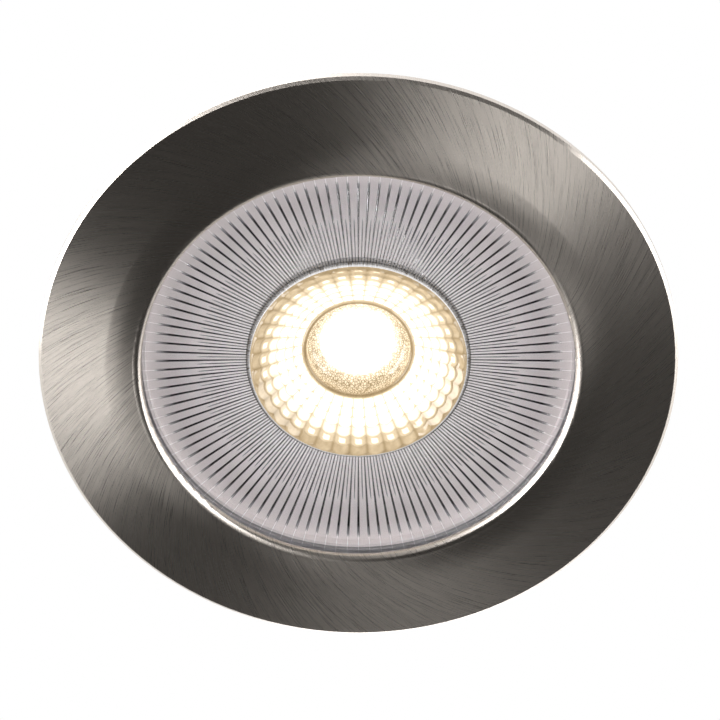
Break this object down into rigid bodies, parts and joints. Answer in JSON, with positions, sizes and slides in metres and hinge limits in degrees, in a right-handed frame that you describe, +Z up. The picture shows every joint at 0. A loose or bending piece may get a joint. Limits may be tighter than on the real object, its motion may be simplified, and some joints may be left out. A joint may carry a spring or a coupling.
{
  "type": "recessed soffit downlight",
  "caption": "Round recessed downlight: wide brushed ring, ribbed lens with a faceted centre optic, finned body, two sprung clips and a terminal box with a hinged lid.",
  "frame": {"origin": "centre of the spigot in the plane where the gasket meets the soffit", "axes": "+Z up into the soffit along the spigot, the light shines down along -Z; the spring clips are at -X and +X, the terminal lid's hinge is at +Y"},
  "size_m": [0.085, 0.085, 0.0514],
  "materials": {
    "brushed_nickel": "spiral brushed nickel",
    "clear_lens": "clear moulded",
    "warm_optic": "clear moulded, lit warm white",
    "phosphor": "warm white phosphor",
    "substrate": "coated aluminium",
    "white_plastic": "moulded",
    "grey_plastic": "moulded",
    "black_plastic": "fine spark texture",
    "button_orange": "moulded",
    "cast_aluminium": "die cast, satin",
    "silicone_white": "soft silicone",
    "silicone_grey": "soft silicone",
    "black_rubber": "soft rubber",
    "zinc_steel": "zinc plated",
    "spring_steel": "drawn spring wire",
    "board_green": "solder mask",
    "component_black": "moulded epoxy",
    "component_blue": "sleeved or dipped",
    "fuse_glass": "glass tube",
    "wire_insulation": "extruded",
    "copper_tin": "tinned copper"
  },
  "bodies": {
    "luminaire": {"trim_ring": "brushed_nickel", "ceiling_gasket": "silicone_grey", "lens_seal": "silicone_white", "lens_plate": "clear_lens", "lens_clamp_ring": "silicone_white", "tir_optic": "warm_optic", "optic_holder": "grey_plastic", "led_holder": "white_plastic", "led_holder_screws": "zinc_steel", "led_substrate": "substrate", "led_phosphor": "phosphor", "thermal_pad": "silicone_grey", "led_leads": "wire_insulation", "heat_sink": "cast_aluminium", "body_seal": "silicone_grey", "trim_screws": "zinc_steel", "driver_board": "board_green", "smoothing_capacitor": "component_blue", "choke": "component_black", "rectifier": "component_black", "driver_chip": "component_black", "fuse": "fuse_glass", "varistor": "component_blue", "supply_leads": "wire_insulation", "terminal_box": "black_plastic", "lid_hinge_pin": "zinc_steel", "box_screws": "zinc_steel", "terminal_block": "white_plastic", "contact_plates": "copper_tin", "clamp_screws": "zinc_steel", "bracket_screws": "zinc_steel", "inlet_grommet_left": "black_rubber", "cable_clamp_left": "white_plastic", "clip_bracket_left": "zinc_steel", "clip_pin_left": "zinc_steel", "clip_spring_left": "spring_steel", "inlet_grommet_right": "black_rubber", "cable_clamp_right": "white_plastic", "clip_bracket_right": "zinc_steel", "clip_pin_right": "zinc_steel", "clip_spring_right": "spring_steel"},
    "clip_right": {"clip_arm_right": "zinc_steel", "clip_sleeve_right": "silicone_white"},
    "clip_left": {"clip_arm_left": "zinc_steel", "clip_sleeve_left": "silicone_white"},
    "box_lid": {"terminal_lid": "black_plastic", "lid_seal": "silicone_grey", "lid_screw": "zinc_steel"},
    "button_1": {"release_button_1": "button_orange"},
    "button_2": {"release_button_2": "button_orange"},
    "button_3": {"release_button_3": "button_orange"}
  },
  "joints": [
    {"name": "clip_right_fold", "type": "hinge", "parent": "luminaire", "child": "clip_right", "pos_m": [0.0265, 0, 0.022], "axis": [0, -1, 0], "range_deg": [0, 138], "stiffness_Nm_per_rad": 0.03, "springref_deg": -34.38, "deforming": ["clip_spring_right"]},
    {"name": "clip_left_fold", "type": "hinge", "parent": "luminaire", "child": "clip_left", "pos_m": [-0.0265, 0, 0.022], "axis": [0, 1, 0], "range_deg": [0, 138], "stiffness_Nm_per_rad": 0.03, "springref_deg": -34.38, "deforming": ["clip_spring_left"]},
    {"name": "lid_hinge", "type": "hinge", "parent": "luminaire", "child": "box_lid", "pos_m": [0, 0.0245, 0.0446], "axis": [-1, 0, 0], "range_deg": [0, 110]},
    {"name": "button_1_press", "type": "slide", "parent": "luminaire", "child": "button_1", "axis": [0, 0, -1], "range_m": [0, 0.0013], "stiffness_N_per_m": 400, "springref_m": -0.0005},
    {"name": "button_2_press", "type": "slide", "parent": "luminaire", "child": "button_2", "axis": [0, 0, -1], "range_m": [0, 0.0013], "stiffness_N_per_m": 400, "springref_m": -0.0005},
    {"name": "button_3_press", "type": "slide", "parent": "luminaire", "child": "button_3", "axis": [0, 0, -1], "range_m": [0, 0.0013], "stiffness_N_per_m": 400, "springref_m": -0.0005}
  ]
}
